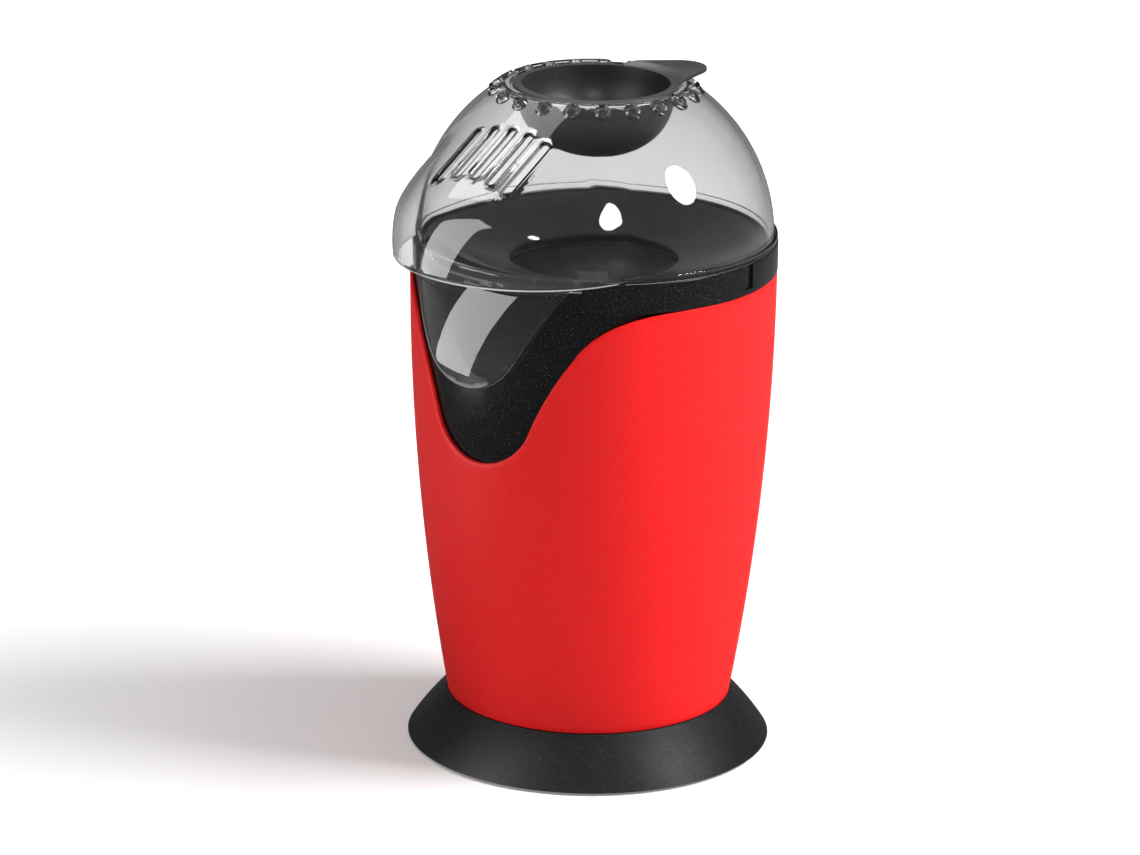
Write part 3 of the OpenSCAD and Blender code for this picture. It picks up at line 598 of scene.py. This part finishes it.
def make_dome():
    """The dome and hood with their openings, the cup's seat, the skirt, the tongue and the collar."""
    circle = spokes(np.linspace(0, TURN, 26, endpoint=False))
    mouth = MOUTH_R * spokes(np.linspace(0, TURN, 260)[:-1])
    vents = [c + VENT_R * circle for c in vent_centres()]
    slots = [slot_outline(k) for k in range(SLOTS)]
    near = [c + (VENT_R + gap) * circle for c in vent_centres() for gap in (0.6, 1.05, 1.5)]
    near += [slot_outline(k, gap) for k in range(SLOTS) for gap in (0.7, 1.2, 1.7)]
    lips = [EDGE_LIP, MOUTH_LIP] + [VENT_LIP] * VENTS + [SLOT_LIP] * SLOTS
    dome = wall("dome", dome_rim(), [mouth, *vents, *slots], lift_dome, spacing=1.7, lip=lips,
                extra=np.concatenate(near))
    seat = lathe("seat", rounded([
        (SEAT_R, SEAT_LOW_Z), (SEAT_OUT_R, SEAT_LOW_Z), (SEAT_OUT_R, SEAT_SHOULDER_Z),
        (SEAT_TOP_R, DOME_TOP_Z), (SEAT_STEP_R, DOME_TOP_Z), (SEAT_STEP_R, SEAT_Z), (SEAT_R, SEAT_Z),
    ], radius=0.3))
    skirt_section = rectangle(SKIRT_IN_R, SKIRT_R, SKIRT_LOW_Z, SKIRT_TOP_Z)
    skirt = lathe("skirt", rounded(skirt_section, radius=0.4))
    flange_section = [(FLANGE_R, RING_TOP_Z), (FLANGE_OUT_R, RING_TOP_Z), (FLANGE_OUT_R, FLANGE_TOP_Z),
                      (FLANGE_TOP_R, FLANGE_TOP_Z)]
    flange = lathe("flange", rounded(flange_section, radius=0.6), segments=200,
                   span=(FLANGE_ANGLE, TURN - FLANGE_ANGLE))
    tongue = wall("tongue", resample(tongue_outline(), step=1.0), [], lift_tongue, spacing=1.9, lip=0.9)
    collar = band("collar", COLLAR_R, COLLAR_OUT_R, COLLAR_LOW_Z, COLLAR_Z, COLLAR_MIDDLE,
                  COLLAR_HALF, edge=0.5)
    tabs = [band("tab", TAB_R, TAB_OUT_R, TAB_LOW_Z, TAB_TOP_Z, side * TAB_MIDDLE, TAB_HALF, edge=0.4)
            for side in (-1, 1)]
    join(dome, seat, skirt, flange, tongue, collar, *tabs)
    notch = rectangle(-SEAT_NOTCH_HALF_W, SEAT_NOTCH_HALF_W, -SEAT_NOTCH_R, -SEAT_NOTCH_OUT_R)
    return cut(dome, prism("notch", turned(notch, SEAT_NOTCH_ANGLE), SEAT_NOTCH_Z, SEAT_NOTCH_TOP_Z))


# ---------------------------------------------------------------- measuring cup

def bowl_profile(inset):
    """The bowl's section from the bottom up, inset from its outer face."""
    return [((CUP_R - inset) * math.sin(t) ** CUP_CURVE,
             CUP_Z - (CUP_DEEP - inset) * abs(math.cos(t)) ** CUP_CURVE)
            for t in np.linspace(0, math.pi / 2, 60)]


def handle_outline():
    """A broad drop: a round tip, straight flanks, and an arc that lies on the cup's rim."""
    past_seam, trim = 2, 0.02
    centre = HANDLE_TIP_R - HANDLE_TIP
    span = HANDLE_ROOT - (0, centre)
    turn = math.atan2(span[1], span[0]) - math.acos(HANDLE_TIP_R / np.linalg.norm(span))
    tip = [np.array([HANDLE_TIP_R * math.cos(t), centre + HANDLE_TIP_R * math.sin(t)])
           for t in np.linspace(turn, -math.pi - turn, 18)]
    flank = [tip[0] + (HANDLE_ROOT - tip[0]) * k for k in np.linspace(0, 1.4, 280)]
    seam = next(p for p in flank if np.linalg.norm(p) < HANDLE_SEAM_R + past_seam)
    half = math.atan2(seam[0], -seam[1]) - trim
    return tip + [seam * (-1, 1)] + arc(HANDLE_SEAM_R, -half, half, 22) + [seam]


def lift_handle(points, depth):
    """The handle's blade: its top slopes down to the rim, and its underside clears the dome."""
    lap, rise_from, rise_over, hang_to, hang, gap = 0.15, 0.6, 4, 0.4, 1.2, 0.02
    r = np.linalg.norm(points, axis=1)
    t = np.clip((r - HANDLE_SEAM_R - rise_from) / rise_over, 0, 1)
    top = CUP_RIM_Z + lap + (HANDLE_HEIGHT - lap) * t * t * (3 - 2 * t)
    under = np.where(r < CUP_RIM_R - hang_to, SEAT_Z + hang, CUP_RIM_Z + gap)
    return np.stack([points[:, 0], points[:, 1], top - depth * (top - under)], 1)


def make_cup():
    """The bowl, its rim and its flat drop-shaped handle, as one solid."""
    rim = rounded([(CUP_R, SEAT_Z), (CUP_RIM_R, SEAT_Z), (CUP_RIM_R, CUP_RIM_Z),
                   (CUP_R - CUP_WALL, CUP_RIM_Z)], [0, 0.4, 0.7, 0.5], closed=False)
    bowl = lathe("cup", bowl_profile(0) + rim + bowl_profile(CUP_WALL)[::-1])
    outline = turned(resample(handle_outline(), step=1.5), HANDLE_ANGLE)
    return join(bowl, wall("handle", outline, [], lift_handle, spacing=1.4, lip=0.4))


# ---------------------------------------------------------------- materials

def grey(level):
    return level, level, level, 1


class Nodes:
    """A material's or world's node tree, with short ways to add to it.

    Where a value is asked for, it is another node's socket, or a number or colour.
    """

    def __init__(self, owner, coords):
        owner.use_nodes = True
        self.owner, self.tree = owner, owner.node_tree
        self.coords = self.add("ShaderNodeTexCoord").outputs[coords]

    def feed(self, socket, value):
        if isinstance(value, bpy.types.NodeSocket):
            self.tree.links.new(value, socket)
        else:
            socket.default_value = value

    def add(self, kind, **values):
        """A node with its settings, and its inputs by name with _ for each space."""
        node = self.tree.nodes.new(kind)
        for key, value in values.items():
            if hasattr(node, key):
                setattr(node, key, value)
            else:
                self.feed(node.inputs[key.replace("_", " ")], value)
        return node

    def noise(self, scale, detail=3.0, stretch=(1, 1, 1)):
        """Noise over the object, scale in waves per metre."""
        place_at = self.add("ShaderNodeMapping", Vector=self.coords, Scale=stretch)
        return self.add("ShaderNodeTexNoise", Vector=place_at.outputs["Vector"], Scale=scale,
                        Detail=detail).outputs["Fac"]

    def ramp(self, source, dark, light, start=0.3, end=0.7):
        """A colour that goes from dark to light as source goes from start to end."""
        node = self.add("ShaderNodeValToRGB", Fac=source)
        for element, at, colour in zip(node.color_ramp.elements, (start, end), (dark, light)):
            element.position, element.color = at, (*colour, 1)
        return node.outputs["Color"]

    def value(self, source, low, high, start=0.3, end=0.7):
        """A number that goes from low to high as source goes from start to end."""
        return self.add("ShaderNodeMapRange", Value=source, From_Min=start, From_Max=end,
                        To_Min=low, To_Max=high).outputs["Result"]

    def math(self, operation, a, b):
        node = self.add("ShaderNodeMath", operation=operation)
        self.feed(node.inputs[0], a)
        self.feed(node.inputs[1], b)
        return node.outputs["Value"]

    def mix(self, share, first, second):
        """The first colour, turned into the second one by share."""
        node = self.add("ShaderNodeMix", data_type="RGBA", Factor=share, A=first, B=second)
        return node.outputs["Result"]


class Surface(Nodes):
    """A new material, its Principled shader and its output."""

    def __init__(self, name):
        super().__init__(bpy.data.materials.new(name), "Object")
        self.shader = self.tree.nodes["Principled BSDF"]

    def set(self, **values):
        for key, value in values.items():
            self.feed(self.shader.inputs[key.replace("_", " ")], value)

    def bump(self, *layers):
        """Relief from (height source, distance in metres, strength) layers, one on the other."""
        last = None
        for source, distance, strength in layers:
            node = self.add("ShaderNodeBump", Height=source, Distance=distance, Strength=strength)
            if last is not None:
                self.feed(node.inputs["Normal"], last.outputs["Normal"])
            last = node
        self.set(Normal=last.outputs["Normal"])

    def blend(self, share, other):
        """Puts another shader in the place of the Principled one by share."""
        node = self.add("ShaderNodeMixShader", Fac=share)
        self.feed(node.inputs[1], self.shader.outputs["BSDF"])
        self.feed(node.inputs[2], other)
        self.feed(self.tree.nodes["Material Output"].inputs["Surface"], node.outputs["Shader"])


def shades(colour, spread):
    """A colour a little darker and a little lighter."""
    return tuple(c * (1 - spread) for c in colour), tuple(min(1, c * (1 + spread)) for c in colour)


DUST = (0.55, 0.53, 0.5, 1)


def plastic(name, colour, rough, grain=0.0, spread=0.06, smudge=0.06, gloss=0.5):
    """Moulded plastic: faint flow marks, a fine skin texture, smudges and a few dust specks."""
    m = Surface(name)
    flow = m.ramp(m.noise(26, 2.0, (1, 1, 0.35)), *shades(colour, spread))
    specks = m.value(m.noise(2400, 0.0), low=0, high=0.10, start=0.73, end=0.78)
    smudges = m.value(m.noise(34, 4.0), rough - smudge / 2, rough + smudge, 0.35, 0.7)
    m.set(Base_Color=m.mix(specks, flow, DUST), Roughness=smudges, IOR=1.4, Specular_IOR_Level=gloss)
    m.bump((m.noise(9000, 1.0), 2e-5, grain), (m.noise(1500, 2.0), 2e-5, grain * 0.5),
           (m.noise(70, 1.0), 1e-4, 0.03))
    return m.owner


def metal(name, colour, rough, lines=(1, 1, 1), spread=0.12, grime=0.2, grime_colour=(0.12, 0.1, 0.08)):
    """Sheet or turned metal: drawn lines along one way, dull patches and grime."""
    m = Surface(name)
    drawn, patches = m.noise(420, 4.0, lines), m.noise(40, 5.0)
    stain = m.value(patches, low=0, high=grime, start=0.52, end=0.75)
    m.set(Base_Color=m.mix(stain, m.ramp(drawn, *shades(colour, spread)), (*grime_colour, 1)),
          Roughness=m.value(patches, rough * 0.75, min(1, rough * 1.5)), Metallic=1.0)
    m.bump((drawn, 3e-5, 0.35), (m.noise(2600, 1.0), 1e-5, 0.3))
    return m.owner


def clear(name, tint, rough):
    """Clear polished plastic: faint haze, hairline scratches and dust. Lamps shine through it."""
    m = Surface(name)
    haze = m.noise(60, 4.0)
    scratches = m.value(m.noise(900, 2.0, (1, 0.05, 0.6)), low=0, high=0.04, start=0.66, end=0.72)
    dust = m.value(m.noise(3000, 0.0), low=0, high=0.16, start=0.76, end=0.8)
    marks = m.math("ADD", scratches, dust)
    m.set(Base_Color=m.ramp(haze, *shades(tint, 0.012)),
          Roughness=m.math("ADD", m.value(haze, rough * 0.4, rough * 1.7), marks),
          Transmission_Weight=1.0, IOR=1.49)
    m.bump((m.noise(45, 1.0), 2e-4, 0.05), (m.noise(1800, 1.0), 1e-5, 0.1))
    open_way = m.add("ShaderNodeBsdfTransparent", Color=(0.92, 0.93, 0.93, 1))
    m.blend(m.add("ShaderNodeLightPath").outputs["Is Shadow Ray"], open_way.outputs["BSDF"])
    return m.owner


def winding_wire(name, colour):
    """Lacquered wire wound round a core."""
    m = Surface(name)
    wave = m.add("ShaderNodeTexWave", wave_type="BANDS", bands_direction="Z", Vector=m.coords,
                 Scale=620.0, Distortion=1.2, Detail=2.0).outputs["Fac"]
    m.set(Base_Color=m.ramp(wave, *shades(colour, 0.35), start=0.2, end=0.8),
          Roughness=m.value(m.noise(300, 3.0), 0.25, 0.45), Metallic=0.7, Coat_Weight=0.4)
    m.bump((wave, 2e-4, 0.6))
    return m.owner


MATERIALS = {            # name, colour, roughness, and for metal the drawn lines' stretch
    "shell_red": plastic("shell_red", (0.72, 0.010, 0.010), 0.38, grain=0.10, spread=0.035, gloss=0.14),
    "base_black": plastic("base_black", (0.008, 0.008, 0.0085), 0.42, grain=0.5, spread=0.15, gloss=0.28),
    "top_black": plastic("top_black", (0.004, 0.004, 0.0042), 0.16, grain=0.04, spread=0.12, smudge=0.1),
    "foot_rubber": plastic("foot_rubber", (0.02, 0.02, 0.02), 0.78, grain=0.9, spread=0.2),
    "silicone": plastic("silicone", (0.03, 0.03, 0.032), 0.5, grain=0.4),
    "works_plastic": plastic("works_plastic", (0.03, 0.03, 0.034), 0.4, grain=0.35),
    "fan_plastic": plastic("fan_plastic", (0.70, 0.70, 0.68), 0.42, grain=0.25),
    "mica": plastic("mica", (0.50, 0.39, 0.20), 0.34, grain=1.0, spread=0.3),
    "ceramic_body": plastic("ceramic_body", (0.78, 0.75, 0.66), 0.5, grain=0.6),
    "magnet": plastic("magnet", (0.05, 0.05, 0.055), 0.6, grain=1.0, spread=0.25),
    "board_green": plastic("board_green", (0.02, 0.15, 0.05), 0.3, grain=0.3, spread=0.2),
    "cap_blue": plastic("cap_blue", (0.03, 0.06, 0.32), 0.25, grain=0.1),
    "rocker_red": plastic("rocker_red", (0.48, 0.012, 0.010), 0.2, grain=0.05),
    "wire_sleeve": plastic("wire_sleeve", (0.20, 0.07, 0.035), 0.45, grain=0.5, spread=0.2),
    "cup_smoke": plastic("cup_smoke", (0.018, 0.018, 0.019), 0.42, grain=0.12, spread=0.1, smudge=0.1,
                         gloss=0.65),
    "screw_steel": metal("screw_steel", (0.58, 0.58, 0.60), 0.3, (1, 1, 4)),
    "chamber_alloy": metal("chamber_alloy", (0.10, 0.10, 0.105), 0.34, (1, 1, 12), grime=0.6,
                           grime_colour=(0.03, 0.025, 0.02)),
    "duct_steel": metal("duct_steel", (0.55, 0.56, 0.57), 0.34, (1, 1, 9)),
    "coil_wire": metal("coil_wire", (0.24, 0.22, 0.21), 0.5, spread=0.3, grime=0.5),
    "terminal_brass": metal("terminal_brass", (0.68, 0.48, 0.19), 0.34),
    "motor_steel": metal("motor_steel", (0.62, 0.62, 0.63), 0.26, (1, 1, 10)),
    "winding": winding_wire("winding", (0.45, 0.17, 0.07)),
    "clear_dome": clear("clear_dome", (0.86, 0.86, 0.86), 0.018),
}


def paint(obj, slot):
    obj.data.materials.clear()
    obj.data.materials.append(MATERIALS[slot])


def place(obj, body, slot, node):
    """Gives a piece its body, slot and material, and hides the CAD node that it stands for."""
    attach(obj, body)
    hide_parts(node)
    paint(obj, slot)


place(make_housing(), "root", "shell_red", "housing")
place(make_top_housing(), "root", "top_black", "top_housing")
place(make_dome(), "dome", "clear_dome", "dome_cover")
place(make_cup(), "cup", "cup_smoke", "measuring_cup")

slots = {row["node"]: row["material_slot"] for row in frame["record"]["subparts"]}
for node, obj in frame["nodes"].items():
    if not obj.hide_render:
        paint(obj, slots[node])


# ---------------------------------------------------------------- floor, light and camera

FLOOR_HALF_W, FLOOR_DROP = 9.0, 0.0002                  # metres, like every size from here on
FLOOR_DARK, FLOOR_LIGHT = (0.60, 0.60, 0.60), (0.63, 0.63, 0.63)
# the floor's painted glow by the object and far from it, and the distances in metres over which it grows
GLOW_NEAR, GLOW_FAR, NEAR, FAR = 0.22, 0.85, 0.15, 0.9
DIM_MIRRORED, DIM_MIRRORED_INSIDE, DIM_THROUGH = 0.88, 0.68, 0.36
ROOM_LOW, ROOM_HIGH, ROOM_INSIDE, WHITE = grey(0.15), grey(0.03), grey(0.25), grey(1)
SWEEP_START, SWEEP_END = 0.02, 0.22                     # sines of the elevations where it darkens


def outward_ray(azimuth, elevation):
    """The direction at an azimuth from the front and an elevation, in radians."""
    return Vector((math.sin(azimuth) * math.cos(elevation), -math.cos(azimuth) * math.cos(elevation),
                   math.sin(elevation)))


def make_floor():
    """A pale floor far wider than the view, its glow painted light: faint by the object, white further
    off.

    Its mirror image in glossy plastic is dimmed, as by black cards round a product on a table. So
    is the part of it that is seen through the clear plastic.
    """
    m = Surface("floor")
    reach = m.add("ShaderNodeVectorMath", operation="LENGTH")
    m.feed(reach.inputs[0], m.coords)
    # painted light: the floor glows, GLOW_NEAR by the object, which lightens its shadow, up to GLOW_FAR
    m.set(Base_Color=m.ramp(m.noise(3, 2.0), FLOOR_DARK, FLOOR_LIGHT), Roughness=0.9,
          Specular_IOR_Level=0.1, Emission_Color=WHITE,
          Emission_Strength=m.value(reach.outputs["Value"], GLOW_NEAR, GLOW_FAR, NEAR, FAR))
    path = m.add("ShaderNodeLightPath").outputs
    mirrored = m.math("MULTIPLY", m.math("GREATER_THAN", path["Glossy Depth"], 0.5),
                      m.math("SUBTRACT", 1.0, path["Is Diffuse Ray"]))
    through = m.math("MULTIPLY", path["Is Transmission Ray"], m.math("SUBTRACT", 1.0, mirrored))
    mirror_dim = m.value(path["Transmission Depth"], DIM_MIRRORED, DIM_MIRRORED_INSIDE, 0, 1)
    dim = m.math("ADD", m.math("MULTIPLY", mirrored, mirror_dim),
                 m.math("MULTIPLY", through, DIM_THROUGH))
    m.blend(dim, m.add("ShaderNodeEmission", Strength=0.0).outputs["Emission"])
    mesh = bpy.data.meshes.new("floor")
    bm = bmesh.new()
    bmesh.ops.create_grid(bm, x_segments=8, y_segments=8, size=FLOOR_HALF_W)
    bm.to_mesh(mesh)
    bm.free()
    mesh.materials.append(m.owner)
    floor = new_object("floor", mesh)
    floor.location.z = -FLOOR_DROP


def make_world():
    """A white sweep low down and a dark room above it, which only lights and mirrors.

    Looked at straight or through the clear plastic, it is all white.
    """
    m = Nodes(bpy.data.worlds.new("room"), "Generated")
    bpy.context.scene.world = m.owner
    height = m.add("ShaderNodeSeparateXYZ", Vector=m.coords).outputs["Z"]
    room = m.mix(m.value(height, 0, 1, SWEEP_START, SWEEP_END), ROOM_LOW, ROOM_HIGH)
    path = m.add("ShaderNodeLightPath").outputs
    turned_away = m.math("MAXIMUM", path["Glossy Depth"], path["Diffuse Depth"])
    in_plastic = m.math("GREATER_THAN", path["Transmission Depth"], 0.5)
    seen = m.mix(m.math("LESS_THAN", turned_away, 0.5), m.mix(in_plastic, room, ROOM_INSIDE), WHITE)
    m.feed(m.tree.nodes["Background"].inputs["Color"], seen)


def lamp(name, azimuth, elevation, distance, size, radiance, kind, aim=(0, 0, 0.2),
         shape="RECTANGLE", lean=0):
    """A soft box at an azimuth from the front and an elevation, both in degrees, facing aim.

    kind is "light" for one that only lights, or "glint" for one that only shows as a reflection.
    lean tips its upper end towards a larger azimuth, in degrees.
    """
    data = bpy.data.lights.new(name, "AREA")
    data.shape = shape
    data.size, data.size_y = size
    data.energy = radiance * math.pi * size[0] * size[1] * (math.pi / 4 if shape == "ELLIPSE" else 1)
    obj = new_object(name, data)
    away = outward_ray(math.radians(azimuth), math.radians(elevation))
    obj.location = Vector(aim) + away * distance
    turn = away.to_track_quat("Z", "Y").to_matrix() @ Matrix.Rotation(-math.radians(lean), 3, "Z")
    obj.rotation_euler = turn.to_euler()
    obj.visible_camera = obj.visible_transmission = False
    obj.visible_glossy = kind == "glint"
    obj.visible_diffuse = kind == "light"


def make_camera():
    """The camera of the photograph: where it stands, where it looks, and its slight roll."""
    azimuth, roll = math.radians(39), math.radians(0.74)
    target, distance = Vector((0, 0, 0.15)), 2.205
    lens, sensor, near, far = 158.741, 36, 0.1, 60
    aside, below = 0.0043368, -0.0036206        # how far off the view's middle the target shows
    back = outward_ray(azimuth, math.radians(17.49))
    level = Vector((math.cos(azimuth), math.sin(azimuth), 0))
    upright = back.cross(level)
    right = level * math.cos(roll) + upright * math.sin(roll)
    up = upright * math.cos(roll) - level * math.sin(roll)
    ahead = (-back - right * aside + up * below).normalized()
    right = ahead.cross(up).normalized()
    data = bpy.data.cameras.new("camera")
    data.sensor_width, data.lens = sensor, lens
    data.clip_start, data.clip_end = near, far
    camera = new_object("camera", data)
    camera.matrix_world = Matrix.Translation(target + back * distance) @ Matrix(
        (right, right.cross(ahead), -ahead)).transposed().to_4x4()
    bpy.context.scene.camera = camera


make_floor()
make_world()
# name, azimuth, elevation, distance, size, radiance, kind, aim
lamp("key", 122, 40, 1.6, (0.8, 0.8), 27, "light")
lamp("fill", 60, 86, 2.2, (2.2, 2.2), 2.0, "light")
lamp("left_light", -30, 0, 0.64, (0.27, 0.88), 1.4, "light", (0, 0, 0.45))
lamp("left_glint", -28, 0, 0.6, (0.26, 1.0), 7.5, "glint", (0, 0, 0.30), lean=34)
lamp("right_glint", 108, 34, 1.55, (0.50, 0.60), 26, "glint", shape="ELLIPSE")
lamp("front_glint", 42, 28, 2.6, (0.44, 0.40), 26, "glint", shape="ELLIPSE")
lamp("roof_glint", -100, 62, 1.6, (1.0, 0.9), 3.5, "glint")
lamp("top_glint", 219, 66, 1.7, (1.0, 0.8), 7, "glint")
make_camera()
bpy.context.scene.view_settings.view_transform = "Standard"
